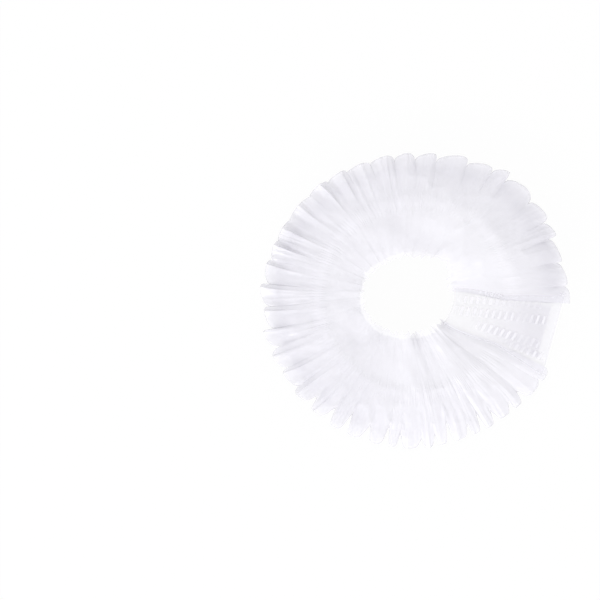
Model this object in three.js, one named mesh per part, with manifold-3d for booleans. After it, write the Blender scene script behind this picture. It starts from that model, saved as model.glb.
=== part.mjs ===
// A disposable shower cap of clear film, as it comes out of its carton. One sheet of film is folded
// lengthwise into plies, its two hems are turned over an elastic each, the elastics shirr the whole
// strip into pleats, both ends are welded flat, and the strip is curled into a ring with lapped ends.
// Millimetres and degrees, +Z up. The ring lies on the XY plane with the origin under its middle.
import * as THREE from "three";
import { mergeVertices } from "three/addons/utils/BufferGeometryUtils.js";
import Module from "manifold-3d";

const wasm = await Module();
wasm.setup();

// Outlines seen from above: the pleat tips, the line where the elastic gathers the film, and the hole.
// The rim is a little out of round: one side bulges, and another is drawn in.
const RIM_RADIUS_X = 42.3;
const RIM_RADIUS_Y = 40.5;
const NOTCH_DEPTH = 1.9;
const BULGE = 2.4;
const BULGE_ANGLE = 52;
const BULGE_SPREAD = 24;
const DRAW_IN = 1.1;
const DRAW_IN_ANGLE = 300;
const DRAW_IN_SPREAD = 26;
const GATHER_RADIUS = 25.1;
const GATHER_X = -0.3;
const GATHER_Y = 0.6;
const HOLE_RADIUS_X = 12;
const HOLE_RADIUS_Y = 11.3;
const HOLE_X = -2.5;
const HOLE_Y = 1.6;

// Pleats: how many, and how high they stand at the hole, at the gather line and at the rim
const PLEATS = 37;
const HOLE_PLEAT_HEIGHT = 0.8;
const GATHER_PLEAT_HEIGHT = 0.3;
const RIM_PLEAT_HEIGHT = 2.4;
const FOOT_LENGTH = 4;

// The upper layers sink from the gather line to the rim, and the ring sags further on one side
const RIM_SINK = 1.8;
const SAG = 2.4;
const SAG_ANGLE = 35;
const SAG_SPREAD = 60;

// Film, hem and elastic. The crown stack is what the folded crown takes where the rim sinks most.
const FILM = 0.5;
const NEST_GAP = 0.9;
const CROWN_STACK = 0.8;
const CREASE_DEPTH = 1.1;
const ELASTIC_WIDTH = 3;
const ELASTIC_THICKNESS = 0.6;
const CLEARANCE = 0.3;

// Welded ends, which lap in the gap that the pleats leave open, a little under the top film
const WELD_MIDDLE = -14.5;
const WELD_SPAN = 27;
const WELD_TAPER = 4.6;
const WELD_PLATE = 1.1;
const LAP_DEPTH = 3;
const BAR_ROWS = 4;
const BAR_PITCH = 1.6;
const BAR_LENGTH = 2;
const BAR_WIDTH = 0.7;
const BAR_HEIGHT = 0.4;
const BAR_SLANT = 18;
const BAR_MARGIN = 2;

// The corners of one pleat, in turn round the ring. Phase is the share of the pitch, level is -1 in
// the valley and 1 on the crest, and lobe is how much of the notch depth the rim stands out there.
// The crest leans towards the start of the pitch, as the shirred film does.
const PLEAT_CORNERS = [
  { phase: 0, level: -1, lobe: 0 },
  { phase: 0.1, level: -1, lobe: 0 },
  { phase: 0.32, level: 1, lobe: 1 },
  { phase: 0.72, level: 1, lobe: 0.45 },
];

const STRIP_START = WELD_MIDDLE + WELD_SPAN / 2;
const STRIP_END = WELD_MIDDLE - WELD_SPAN / 2 + 360;
const PITCH = (STRIP_END - STRIP_START) / PLEATS;

const radians = THREE.MathUtils.degToRad;

function ellipsePoint(x, y, radiusX, radiusY, angle) {
  return new THREE.Vector2(
    x + radiusX * Math.cos(radians(angle)),
    y + radiusY * Math.sin(radians(angle)),
  );
}

// A point that lies a given distance from one point on the way to another
function towards(from, to, distance) {
  return to.clone().sub(from).setLength(distance).add(from);
}

const holePoint = ({ angle }) =>
  ellipsePoint(HOLE_X, HOLE_Y, HOLE_RADIUS_X, HOLE_RADIUS_Y, angle);
const gatherPoint = ({ angle }) =>
  ellipsePoint(GATHER_X, GATHER_Y, GATHER_RADIUS, GATHER_RADIUS, angle);

// A swelling that is 1 at its own angle and dies away on both sides
function swell(angle, middle, spread) {
  const turn = THREE.MathUtils.euclideanModulo(angle - middle + 180, 360) - 180;
  return Math.exp(-((turn / spread) ** 2));
}

const rimPoint = ({ angle, lobe }) => {
  const bulge = BULGE * swell(angle, BULGE_ANGLE, BULGE_SPREAD);
  const drawIn = DRAW_IN * swell(angle, DRAW_IN_ANGLE, DRAW_IN_SPREAD);
  const proud = bulge - drawIn - NOTCH_DEPTH * (1 - lobe);
  return ellipsePoint(0, 0, RIM_RADIUS_X + proud, RIM_RADIUS_Y + proud, angle);
};

// How far the upper layers lie lower at the rim than at the gather line
const rimSink = ({ angle }) => RIM_SINK + SAG * swell(angle, SAG_ANGLE, SAG_SPREAD);
const noSink = () => 0;

// Columns run along the strip, one for each pleat corner
function pleatColumns() {
  const columns = [];
  for (let pleat = 0; pleat < PLEATS; pleat++) {
    for (const corner of PLEAT_CORNERS) {
      columns.push({ ...corner, angle: STRIP_START + (pleat + corner.phase) * PITCH });
    }
  }
  columns.push({ ...PLEAT_CORNERS[0], angle: STRIP_END });
  return columns;
}

// Stations run across the strip. Each gives its place in a column, the height of the pleat there and
// how far the layer sinks there.
const HOLE_EDGE = { place: holePoint, height: HOLE_PLEAT_HEIGHT, sink: noSink };
const GATHER_LINE = { place: gatherPoint, height: GATHER_PLEAT_HEIGHT, sink: noSink };
const FOOT = {
  place: (column) => towards(rimPoint(column), gatherPoint(column), FOOT_LENGTH),
  height: RIM_PLEAT_HEIGHT,
  sink: noSink,
};
const RIM = { place: rimPoint, height: RIM_PLEAT_HEIGHT, sink: noSink };
const SUNK_RIM = { place: rimPoint, height: RIM_PLEAT_HEIGHT, sink: rimSink };

const PLY = [HOLE_EDGE, GATHER_LINE, RIM];
const FOOTED_PLY = [HOLE_EDGE, GATHER_LINE, FOOT, RIM];
const HEM = [GATHER_LINE, RIM];
const SUNK_PLY = [HOLE_EDGE, GATHER_LINE, SUNK_RIM];
const SUNK_HEM = [GATHER_LINE, SUNK_RIM];

// The elastic lies just outside the gather line
const ELASTIC_INNER = CLEARANCE;
const ELASTIC_OUTER = ELASTIC_INNER + ELASTIC_WIDTH;

// The most that pleats of the given stations come up or down to the elastic, at its outer edge
function riseAtElastic(stations) {
  const outside = stations[stations.indexOf(GATHER_LINE) + 1];
  const rises = pleatColumns().map((column) => {
    const share = ELASTIC_OUTER / gatherPoint(column).distanceTo(outside.place(column));
    const pleat = THREE.MathUtils.lerp(GATHER_PLEAT_HEIGHT, outside.height, share);
    return pleat / 2 + share * outside.sink(column);
  });
  return Math.max(...rises);
}

// Levels of the upper face of each layer, halfway up its pleats, from the floor to the top
const CHANNEL = FILM + ELASTIC_THICKNESS + 2 * CLEARANCE + riseAtElastic(HEM);
const BOTTOM_PLY_LEVEL = FILM + RIM_PLEAT_HEIGHT / 2;
const BOTTOM_HEM_LEVEL = BOTTOM_PLY_LEVEL + CHANNEL + riseAtElastic(FOOTED_PLY);
const CROWN_LEVEL = BOTTOM_HEM_LEVEL + NEST_GAP + CROWN_STACK + RIM_SINK + SAG;
const TOP_HEM_LEVEL = CROWN_LEVEL + NEST_GAP + FILM;
const TOP_PLY_LEVEL = TOP_HEM_LEVEL + CHANNEL + riseAtElastic(SUNK_PLY);

const raised = (point, z) => new THREE.Vector3(point.x, point.y, z);

// The point where a column meets a station, on a layer of the given level
function facePoint(station, column, level) {
  const z = level + (column.level * station.height) / 2 - station.sink(column);
  return raised(station.place(column), z);
}

const reach = (point) => Math.hypot(point.x, point.y);

// Triangles across a section, which face against the strip's direction
function sectionTriangles(section) {
  const outline = section.map((p) => new THREE.Vector2(reach(p), p.z));
  return THREE.ShapeUtils.triangulateShape(outline, []);
}

// Skins a row of closed sections and closes both ends. Each section goes round the same way, from the
// hole to the rim over the top and back underneath. Every quad is split from its end nearer the middle
// of the ring, so that faces of neighbouring layers run side by side.
function loft(sections) {
  const size = sections[0].length;
  const index = [];
  for (let row = 0; row + 1 < sections.length; row++) {
    for (let k = 0; k < size; k++) {
      const following = (k + 1) % size;
      const near = row * size + k;
      const next = row * size + following;
      if (reach(sections[row][k]) < reach(sections[row][following])) {
        index.push(near, next, next + size, near, next + size, near + size);
      } else {
        index.push(near, next, near + size, next, next + size, near + size);
      }
    }
  }
  const last = (sections.length - 1) * size;
  for (const [a, b, c] of sectionTriangles(sections[0])) {
    index.push(a, b, c);
  }
  for (const [a, b, c] of sectionTriangles(sections.at(-1))) {
    index.push(last + a, last + c, last + b);
  }
  const geometry = new THREE.BufferGeometry().setFromPoints(sections.flat());
  geometry.setIndex(index);
  return geometry;
}

// A pleated ply of film: its upper face at the given level and its lower face one film below
function pleatedPly(stations, level) {
  const sections = pleatColumns().map((column) => {
    const upper = stations.map((station) => facePoint(station, column, level));
    const lower = upper.map((p) => p.clone().setZ(p.z - FILM));
    return [...upper, ...lower.reverse()];
  });
  return loft(sections);
}

// The crown film, folded up between the hems. It fills the room that the hems leave at the hole, and
// its two edges are creased between the folds.
function crownFolds() {
  const upperLevels = [TOP_PLY_LEVEL - FILM - NEST_GAP, CROWN_LEVEL, CROWN_LEVEL];
  const lowerLevels = [
    BOTTOM_PLY_LEVEL + NEST_GAP,
    BOTTOM_HEM_LEVEL + NEST_GAP,
    BOTTOM_HEM_LEVEL + NEST_GAP,
  ];
  const sections = pleatColumns().map((column) => {
    const upper = SUNK_PLY.map((station, k) => facePoint(station, column, upperLevels[k]));
    const lower = PLY.map((station, k) => facePoint(station, column, lowerLevels[k]));
    const crease = (edge) => {
      const place = PLY.at(edge).place(column);
      const inside = towards(place, gatherPoint(column), CREASE_DEPTH);
      return raised(inside, (upper.at(edge).z + lower.at(edge).z) / 2);
    };
    return [...upper, crease(-1), ...lower.reverse(), crease(0)];
  });
  return loft(sections);
}

// A flat elastic that lies along the gather line, with its lower face at the given height
function elasticBand(bottom) {
  const sections = pleatColumns()
    .filter((column) => column.phase === 0)
    .map((column) => {
      const inner = towards(gatherPoint(column), rimPoint(column), ELASTIC_INNER);
      const outer = towards(gatherPoint(column), rimPoint(column), ELASTIC_OUTER);
      const top = bottom + ELASTIC_THICKNESS;
      return [raised(inner, top), raised(outer, top), raised(outer, bottom), raised(inner, bottom)];
    });
  return loft(sections);
}

// Places across a welded end. Its rim is the straight edge between the two ends of the pleated rim.
function weldRim(angle) {
  const from = rimPoint({ angle: STRIP_START, lobe: 0 });
  const to = rimPoint({ angle: STRIP_END, lobe: 0 });
  return from.lerp(to, (STRIP_START - angle) / WELD_SPAN);
}
const weldHole = (angle) => holePoint({ angle });

// The plates of the welds sink towards the rim as the film beside them does
const LAP_SINK = rimSink({ angle: WELD_MIDDLE });

// The turn, in degrees, that opens the clearance at the hole between a weld and the pleats beside it
const WELD_GAP = THREE.MathUtils.radToDeg(CLEARANCE / Math.min(HOLE_RADIUS_X, HOLE_RADIUS_Y));

// A welded end: a root as high as the gathered plies, tapering to a flat plate at the given height.
// Turn is 1 where the plate runs with the strip's direction, and -1 where it runs against it.
function weldedEnd(rootAngle, turn, plateBottom) {
  const plateEnd = WELD_SPAN - WELD_TAPER - 3 * WELD_GAP;
  const root = {
    bottom: BOTTOM_PLY_LEVEL,
    bottomSink: 0,
    top: TOP_PLY_LEVEL,
    topSink: rimSink({ angle: rootAngle }),
  };
  const plate = {
    bottom: plateBottom,
    bottomSink: LAP_SINK,
    top: plateBottom + WELD_PLATE,
    topSink: LAP_SINK,
  };
  const stops = [
    { ...root, angle: rootAngle + turn * WELD_GAP },
    { ...plate, angle: rootAngle + turn * WELD_TAPER },
    { ...plate, angle: rootAngle + turn * plateEnd },
  ];
  const sections = stops.map(({ angle, bottom, bottomSink, top, topSink }) => [
    raised(weldHole(angle), top),
    raised(weldRim(angle), top - topSink),
    raised(weldRim(angle), bottom - bottomSink),
    raised(weldHole(angle), bottom),
  ]);
  return loft(turn > 0 ? sections : sections.reverse());
}

// Solid from a closed mesh, and back to a mesh, for joining
function toSolid(geometry) {
  const bare = new THREE.BufferGeometry().setAttribute("position", geometry.getAttribute("position"));
  bare.setIndex(geometry.index);
  const merged = mergeVertices(bare);
  const vertProperties = new Float32Array(merged.getAttribute("position").array);
  const triVerts = new Uint32Array(merged.index.array);
  return new wasm.Manifold(new wasm.Mesh({ numProp: 3, vertProperties, triVerts }));
}

function fromSolid(solid) {
  const { vertProperties, triVerts } = solid.getMesh();
  const geometry = new THREE.BufferGeometry();
  geometry.setAttribute("position", new THREE.BufferAttribute(vertProperties, 3));
  geometry.setIndex(new THREE.BufferAttribute(triVerts, 1));
  return geometry;
}

// Rows of short raised bars that the welding wheel leaves across the plate of the upper end
function withWeldBars(plate, firstAngle, lastAngle, plateTop) {
  let solid = toSolid(plate);
  const rowPitch = (lastAngle - firstAngle) / BAR_ROWS;
  for (let row = 0; row < BAR_ROWS; row++) {
    const angle = firstAngle + (row + 0.5) * rowPitch;
    const inner = weldHole(angle);
    const outer = weldRim(angle);
    const width = inner.distanceTo(outer);
    const bars = Math.floor((width - 2 * BAR_MARGIN) / BAR_PITCH) + 1;
    for (let bar = 0; bar < bars; bar++) {
      const across = BAR_MARGIN + bar * BAR_PITCH;
      const middle = towards(inner, outer, across);
      const box = new THREE.BoxGeometry(BAR_WIDTH, BAR_LENGTH, 2 * BAR_HEIGHT);
      box.rotateZ(radians(angle - BAR_SLANT));
      box.translate(middle.x, middle.y, plateTop - (LAP_SINK * across) / width);
      solid = solid.add(toSolid(box));
    }
  }
  return fromSolid(solid);
}

// The two ends lap, the upper one a clearance above the lower one
const LAP_LEVEL = TOP_PLY_LEVEL - LAP_DEPTH;
const UPPER_PLATE_BOTTOM = LAP_LEVEL + CLEARANCE / 2;
const LOWER_PLATE_BOTTOM = LAP_LEVEL - CLEARANCE / 2 - WELD_PLATE;

function upperEndWeld() {
  const plate = weldedEnd(STRIP_START, -1, UPPER_PLATE_BOTTOM);
  const firstBar = STRIP_START - WELD_SPAN + WELD_TAPER + 3 * WELD_GAP;
  return withWeldBars(plate, firstBar, STRIP_START - WELD_TAPER, UPPER_PLATE_BOTTOM + WELD_PLATE);
}

function lowerEndWeld() {
  return weldedEnd(STRIP_END - 360, 1, LOWER_PLATE_BOTTOM);
}

const BOTTOM_ELASTIC_BOTTOM = BOTTOM_PLY_LEVEL + riseAtElastic(FOOTED_PLY) + CLEARANCE;
const TOP_ELASTIC_BOTTOM =
  TOP_PLY_LEVEL - FILM - riseAtElastic(SUNK_PLY) - CLEARANCE - ELASTIC_THICKNESS;

const clearFilm = new THREE.MeshStandardMaterial({
  name: "clear_film",
  color: 0xf0eef9,
  roughness: 0.3,
  metalness: 0,
  transparent: true,
  opacity: 0.55,
});
const rubber = new THREE.MeshStandardMaterial({
  name: "elastic_rubber",
  color: 0xf2f0ec,
  roughness: 0.7,
  metalness: 0,
});

const ring = new THREE.Group();
function addPiece(name, geometry, material) {
  const mesh = new THREE.Mesh(geometry, material);
  mesh.name = name;
  ring.add(mesh);
}

addPiece("bottom_hem_ply", pleatedPly(FOOTED_PLY, BOTTOM_PLY_LEVEL), clearFilm);
addPiece("bottom_elastic", elasticBand(BOTTOM_ELASTIC_BOTTOM), rubber);
addPiece("bottom_hem_turn", pleatedPly(HEM, BOTTOM_HEM_LEVEL), clearFilm);
addPiece("crown_folds", crownFolds(), clearFilm);
addPiece("top_hem_turn", pleatedPly(SUNK_HEM, TOP_HEM_LEVEL), clearFilm);
addPiece("top_elastic", elasticBand(TOP_ELASTIC_BOTTOM), rubber);
addPiece("top_hem_ply", pleatedPly(SUNK_PLY, TOP_PLY_LEVEL), clearFilm);
addPiece("upper_end_weld", upperEndWeld(), clearFilm);
addPiece("lower_end_weld", lowerEndWeld(), clearFilm);

// The ring is set down with the middle of its outline over the origin
const outline = new THREE.Box3().setFromObject(ring);
const middle = outline.getCenter(new THREE.Vector3());
ring.position.set(-middle.x, -middle.y, -outline.min.z);

const showerCap = new THREE.Group();
showerCap.name = "shower_cap";
showerCap.add(ring);

export default showerCap;
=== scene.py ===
import logging
import math
from dataclasses import dataclass, field, replace
from enum import Enum

import bpy
import numpy as np
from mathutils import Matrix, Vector


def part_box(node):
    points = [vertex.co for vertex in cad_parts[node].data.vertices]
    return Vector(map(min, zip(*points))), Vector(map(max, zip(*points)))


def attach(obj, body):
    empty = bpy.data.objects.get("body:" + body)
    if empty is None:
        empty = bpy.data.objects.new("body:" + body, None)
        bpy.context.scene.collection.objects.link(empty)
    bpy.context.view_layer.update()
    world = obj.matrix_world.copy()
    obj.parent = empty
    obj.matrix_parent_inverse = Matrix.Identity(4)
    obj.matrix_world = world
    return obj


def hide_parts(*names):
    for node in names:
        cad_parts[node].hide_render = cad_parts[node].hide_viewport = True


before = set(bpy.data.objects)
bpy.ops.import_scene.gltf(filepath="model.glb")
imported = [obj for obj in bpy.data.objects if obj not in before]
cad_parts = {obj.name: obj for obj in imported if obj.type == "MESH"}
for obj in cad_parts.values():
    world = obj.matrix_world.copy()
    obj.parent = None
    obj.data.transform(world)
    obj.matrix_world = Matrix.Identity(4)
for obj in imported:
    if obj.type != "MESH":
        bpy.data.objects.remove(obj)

Array = np.ndarray
Pair = tuple[float, float]
Piece = bpy.types.Object
Material = bpy.types.Material
log = logging.getLogger("shower_cap")

MM = 0.001
FRAME_BODY = "root"
FLAT_MAP = "flat_film_mm"
CLEARNESS = "clearness"
# Attribute that says how much grey shade is painted into the film's colour
SHADE_ATTRIBUTE = "fold_density"
CREASE = "crease_size"

# Size of the lattice of random values, on which noise repeats
LATTICE = (97, 61)

# The photograph's frame: its width in pixels, its scale, and where the origin lies in it
PHOTO_PX = 600
PX_PER_MM = 3.64
ORIGIN_PX = (415.0, 300.0)


class Side(Enum):
    """Which of the two hems a film belongs to."""

    TOP = 1
    BOTTOM = -1


class End(Enum):
    """Which end of the strip a weld belongs to; its value turns the way out of the strip."""

    START = 1
    FAR = -1


def srgb(hex_colour: str) -> tuple[float, float, float, float]:
    """Turns an sRGB hex colour into linear RGBA.

    Args:
        hex_colour: colour as "#RRGGBB".

    Returns:
        Linear red, green, blue and alpha 1.
    """
    channels = [int(hex_colour[k:k + 2], 16) / 255 for k in (1, 3, 5)]
    linear = [c / 12.92 if c <= 0.04045 else ((c + 0.055) / 1.055) ** 2.4 for c in channels]
    return (*linear, 1.0)


def smooth(low: float, high: float, value: Array) -> Array:
    """Eases from 0 at low to 1 at high, by the cubic 3t^2 - 2t^3."""
    t = np.clip((value - low) / (high - low), 0, 1)
    return t * t * (3 - 2 * t)


def bell(value: Array, middle: float | Array, spread: float) -> Array:
    """Bell curve that is 1 at the middle and falls to 1/e at one spread from it."""
    return np.exp(-(((value - middle) / spread) ** 2))


def mix(first: float | Array, second: float | Array, share: float | Array) -> float | Array:
    """Value between two others: the first where the share is 0, and the second where it is 1."""
    return first + (second - first) * share


def signed_power(value: Array, power: float) -> Array:
    """Raises the size of a value to a power and keeps its sign."""
    return np.sign(value) * np.abs(value) ** power


def noise(x: Array, y: Array, seed: int) -> Array:
    """Smooth noise from -1 to 1: random values on a unit lattice, eased between the lattice points.

    Args:
        x: first coordinate, in lattice steps.
        y: second coordinate, in lattice steps, of a shape that broadcasts with x.
        seed: seed of the lattice values.

    Returns:
        Noise of the broadcast shape.
    """
    lattice = np.random.default_rng(seed).uniform(-1, 1, LATTICE)
    x, y = np.broadcast_arrays(x, y)
    column, row = np.floor(x).astype(int), np.floor(y).astype(int)
    u, v = smooth(0, 1, x - column), smooth(0, 1, y - row)

    def corner(across: int, up: int) -> Array:
        """Lattice value at a corner of the cell."""
        return lattice[(column + across) % LATTICE[0], (row + up) % LATTICE[1]]

    low = corner(0, 0) * (1 - u) + corner(1, 0) * u
    high = corner(0, 1) * (1 - u) + corner(1, 1) * u
    return low * (1 - v) + high * v


def ridged(x: Array, y: Array, seed: int) -> Array:
    """Noise from -1 to 1 with sharp crests, as creased film has: 1 - 2 times the size of the noise."""
    return 1 - 2 * np.abs(noise(x, y, seed))


@dataclass(frozen=True)
class Ripple:
    """A layer of noise: its size, its lattice steps for each unit of x and y, and its lattice offset."""

    size: float
    x_step: float
    y_step: float
    offset: Pair = (0.0, 0.0)
    sharp: bool = False

    def at(self, x: Array, y: Array | float, seed: int) -> Array:
        """Size times the noise, soft or with sharp crests, at the scaled coordinates."""
        layer = ridged if self.sharp else noise
        return self.size * layer(x * self.x_step + self.offset[0], y * self.y_step + self.offset[1], seed)


@dataclass(frozen=True)
class Swell:
    """Something that is strongest at one angle round the ring and dies away on both sides."""

    angle: float
    spread: float
    size: float

    def at(self, angle: Array) -> Array:
        """Size times a bell curve of the turn from the swell's own angle."""
        turn = (angle - self.angle + 180) % 360 - 180
        return self.size * bell(turn, 0, self.spread)


@dataclass(frozen=True)
class RingPlan:
    """Outlines of the ring seen from above, in millimetres and degrees."""

    rim: Pair = (42.3, 40.5)
    rim_at: Pair = (0.0, -0.25)
    rim_swells: tuple[Swell, ...] = (Swell(52, 24, 2.4), Swell(300, 26, -1.1))
    gather_radius: float = 25.1
    gather_at: Pair = (-0.3, 0.35)
    gather_share: float = 0.46
    hole: Pair = (12.0, 11.3)
    hole_at: Pair = (-2.5, 1.35)
    hole_swells: tuple[Swell, ...] = (Swell(44, 14, 2.2), Swell(112, 36, -1.1), Swell(272, 32, -0.9))
    start: float = -1.0
    end: float = 332.0
    frill_width: float = 16.5
    inner_width: float = 14.0
    elastic_inner: float = 0.3
    elastic_width: float = 3.0
    rough_radii: Pair = (12.0, 41.0)

    @property
    def elastic_share(self) -> float:
        """Width of the elastic, as a share across the strip."""
        return self.elastic_width / self.frill_width * (1 - self.gather_share)

    def rough_radius(self, share: Array) -> Array:
        """Radius at a share across the strip, straight from the hole to the rim."""
        return mix(*self.rough_radii, share)

    def ellipse(self, at: Pair, radii: tuple[Array, Array], angle: Array) -> Array:
        """Points of an ellipse: centre plus radius times cosine and sine of the angle."""
        turn = np.radians(angle)
        return np.stack([at[0] + radii[0] * np.cos(turn), at[1] + radii[1] * np.sin(turn)], axis=-1)

    def hole_edge(self, angle: Array) -> Array:
        """Points of the hole's outline: its ellipse, with its swells added to both radii."""
        stand = sum(swell.at(angle) for swell in self.hole_swells)
        return self.ellipse(self.hole_at, (self.hole[0] + stand, self.hole[1] + stand), angle)

    def place(self, angle: Array, share: Array, proud: Array) -> Array:
        """Points across the strip: straight from the hole to the gather line, then straight to the rim.

        Args:
            angle: angles round the ring.
            share: 0 at the hole, gather_share at the gather line and 1 at the rim.
            proud: how far the rim stands out of its outline, in millimetres.

        Returns:
            XY points of the broadcast shape, in millimetres.
        """
        angle, share, proud = np.broadcast_arrays(angle, share, proud)
        stand = proud + sum(swell.at(angle) for swell in self.rim_swells)
        rim = self.ellipse(self.rim_at, (self.rim[0] + stand, self.rim[1] + stand), angle)
        gather = self.ellipse(self.gather_at, (self.gather_radius, self.gather_radius), angle)
        hole = self.hole_edge(angle)
        inner = np.minimum(share / self.gather_share, 1)[..., None]
        outer = np.maximum((share - self.gather_share) / (1 - self.gather_share), 0)[..., None]
        return hole + (gather - hole) * inner + (rim - gather) * outer


@dataclass(frozen=True)
class PleatStyle:
    """How the pleats stand at one angle round the ring, with lengths in millimetres.

    The crest is its place in the pleat, from 0 to 1, and the ridge how much of the section is straight
    flanks. The onset is the power with which the pleats rise from the elastic to the rim. Notch and slit
    are the depths of the gaps between them at the rim. Clear is added to how clear the film is, and the
    painted shade is how much grey shade is painted into the film's colour: most at the upper right, least
    at the near side.
    """

    angle: float
    crest: float
    lean: float
    height: float
    onset: float
    ridge: float
    notch: float
    slit: float
    clear: float
    painted_shade: float


# Round petals at the far right, sharp tall pleats at the far left, loops at the left, and narrow folds
# with slits between them at the near side, where the least shade is painted into the film's colour
PLEAT_STYLES = (
    PleatStyle(0, crest=0.40, lean=1.0, height=0.8, onset=2.2, ridge=0.1,
               notch=1.8, slit=0.0, clear=-0.12, painted_shade=0.34),
    PleatStyle(22, crest=0.42, lean=1.4, height=0.9, onset=3.0, ridge=0.0,
               notch=2.8, slit=0.0, clear=-0.22, painted_shade=0.42),
    PleatStyle(55, crest=0.42, lean=1.4, height=0.9, onset=3.0, ridge=0.0,
               notch=3.0, slit=0.0, clear=-0.22, painted_shade=0.30),
    PleatStyle(80, crest=0.42, lean=1.3, height=1.0, onset=2.4, ridge=0.1,
               notch=2.8, slit=0.0, clear=-0.14, painted_shade=0.22),
    PleatStyle(105, crest=0.40, lean=1.0, height=1.2, onset=1.6, ridge=0.6,
               notch=1.8, slit=0.0, clear=-0.06, painted_shade=0.16),
    PleatStyle(130, crest=0.46, lean=0.5, height=1.9, onset=2.2, ridge=1.0,
               notch=0.9, slit=0.0, clear=-0.10, painted_shade=0.20),
    PleatStyle(155, crest=0.44, lean=0.6, height=1.9, onset=2.2, ridge=1.0,
               notch=1.2, slit=0.0, clear=-0.08, painted_shade=0.28),
    PleatStyle(180, crest=0.34, lean=1.3, height=1.2, onset=1.6, ridge=0.4,
               notch=2.8, slit=0.0, clear=-0.04, painted_shade=0.30),
    PleatStyle(205, crest=0.34, lean=1.2, height=1.1, onset=1.6, ridge=0.4,
               notch=2.7, slit=0.5, clear=-0.04, painted_shade=0.30),
    PleatStyle(235, crest=0.42, lean=0.6, height=0.7, onset=1.2, ridge=0.5,
               notch=1.2, slit=3.0, clear=0.0, painted_shade=0.26),
    PleatStyle(265, crest=0.50, lean=0.2, height=0.45, onset=1.0, ridge=0.5,
               notch=0.8, slit=5.5, clear=-0.10, painted_shade=0.10),
    PleatStyle(295, crest=0.50, lean=0.3, height=0.45, onset=1.0, ridge=0.4,
               notch=0.8, slit=5.0, clear=-0.10, painted_shade=0.06),
    PleatStyle(318, crest=0.45, lean=0.8, height=0.45, onset=1.3, ridge=0.4,
               notch=1.0, slit=1.8, clear=-0.24, painted_shade=0.0),
    PleatStyle(340, crest=0.35, lean=1.2, height=0.6, onset=1.6, ridge=0.3,
               notch=1.2, slit=0.0, clear=-0.24, painted_shade=0.02),
)


@dataclass
class Pleats:
    """The main pleats of the shirred strip: where each starts and how it stands.

    The pitch is in degrees. A spread is the range of a random factor, drawn for each pleat.
    """

    plan: RingPlan
    pitch: float = 9.3
    finer: Swell = Swell(292, 58, -2.8)
    jitter: float = 0.2
    seed: int = 11
    samples: int = 2000
    crest_spread: Pair = (0.8, 1.2)
    lean_spread: Pair = (0.7, 1.2)
    height_spread: Pair = (0.7, 1.2)
    ridge_spread: Pair = (0.5, 1.3)
    tip_spread: Pair = (0.65, 1.1)
    slit_spread: Pair = (0.1, 1.4)
    arch_power: float = 1.25
    flank_power: float = 4.5
    lobe_power: float = 0.5
    edges: Array = field(init=False)
    crest: Array = field(init=False)
    lean: Array = field(init=False)
    height: Array = field(init=False)
    ridge: Array = field(init=False)
    tip: Array = field(init=False)
    slit: Array = field(init=False)

    def __post_init__(self) -> None:
        """Counts the pleats from the pitch, which is finer on one side, and draws their characters."""
        rng = np.random.default_rng(self.seed)
        angle = np.linspace(self.plan.start, self.plan.end, self.samples)
        density_and_painted_shade = 1 / (self.pitch + self.finer.at(angle))
        counted = np.concatenate([[0], np.cumsum((density_and_painted_shade[1:] + density_and_painted_shade[:-1]) / 2 * np.diff(angle))])
        count = int(round(counted[-1]))
        marks = np.arange(count + 1, dtype=float)
        marks[1:-1] += rng.uniform(-self.jitter, self.jitter, count - 1)
        self.edges = np.interp(marks, counted * count / counted[-1], angle)
        middles = (self.edges[1:] + self.edges[:-1]) / 2
        self.crest = self.style("crest", middles) * rng.uniform(*self.crest_spread, count)
        self.lean = self.style("lean", middles) * rng.uniform(*self.lean_spread, count)
        self.height = self.style("height", middles) * rng.uniform(*self.height_spread, count)
        self.ridge = np.clip(self.style("ridge", middles) * rng.uniform(*self.ridge_spread, count), 0, 1)
        self.tip = rng.uniform(*self.tip_spread, count)
        self.slit = self.style("slit", self.edges) * rng.uniform(*self.slit_spread, count + 1)

    @property
    def count(self) -> int:
        """How many pleats there are."""
        return len(self.crest)

    def style(self, name: str, angle: Array) -> Array:
        """One value of the pleat styles, straight between the angles at which it is given."""
        angles = [style.angle for style in PLEAT_STYLES]
        return np.interp(angle, angles, [getattr(style, name) for style in PLEAT_STYLES], period=360)

    def columns(self, per_pleat: int) -> Array:
        """Places along the strip in pleats, with the same number of columns in each pleat."""
        return np.linspace(0, self.count, self.count * per_pleat + 1)

    def split(self, along: Array) -> tuple[Array, Array]:
        """Number of the pleat and the share of it that lies behind, for places along the strip."""
        pleat = np.clip(np.floor(along).astype(int), 0, self.count - 1)
        return pleat, np.clip(along - pleat, 0, 1)

    def angle(self, along: Array) -> Array:
        """Angle round the ring, straight between the edges of the pleats."""
        return np.interp(along, np.arange(self.count + 1), self.edges)

    def arch(self, along: Array, power: float) -> Array:
        """Round cross-section of the pleats: a sine arch with its phase bent to bring the crest early.

        Args:
            along: places along the strip, in pleats.
            power: 1 for a sine arch, less for a flatter crest with steeper sides.

        Returns:
            Heights from 0 in the valleys to 1 on the crests, of the same shape.
        """
        pleat, phase = self.split(along)
        bent = phase ** (math.log(0.5) / np.log(self.crest[pleat]))
        return np.sin(np.pi * bent) ** power

    def lobes(self, along: Array) -> Array:
        """Outline that the pleats push out at the rim: arches with a flat crest."""
        return self.arch(along, self.lobe_power)

    def section(self, along: Array) -> Array:
        """Cross-section of the pleats: the round arch, mixed with two straight flanks where it is sharp."""
        pleat, phase = self.split(along)
        crest = self.crest[pleat]
        flanks = np.minimum(phase / crest, (1 - phase) / (1 - crest)) ** self.flank_power
        return self.arch(along, self.arch_power) * (1 - self.ridge[pleat]) + flanks * self.ridge[pleat]

    def slits(self, along: Array, width: float) -> Array:
        """Depth of the slits between pleats: a narrow bell curve at each edge that has a slit."""
        edge = np.clip(np.round(along).astype(int), 0, self.count)
        return self.slit[edge] * bell(along, edge, width)


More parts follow.
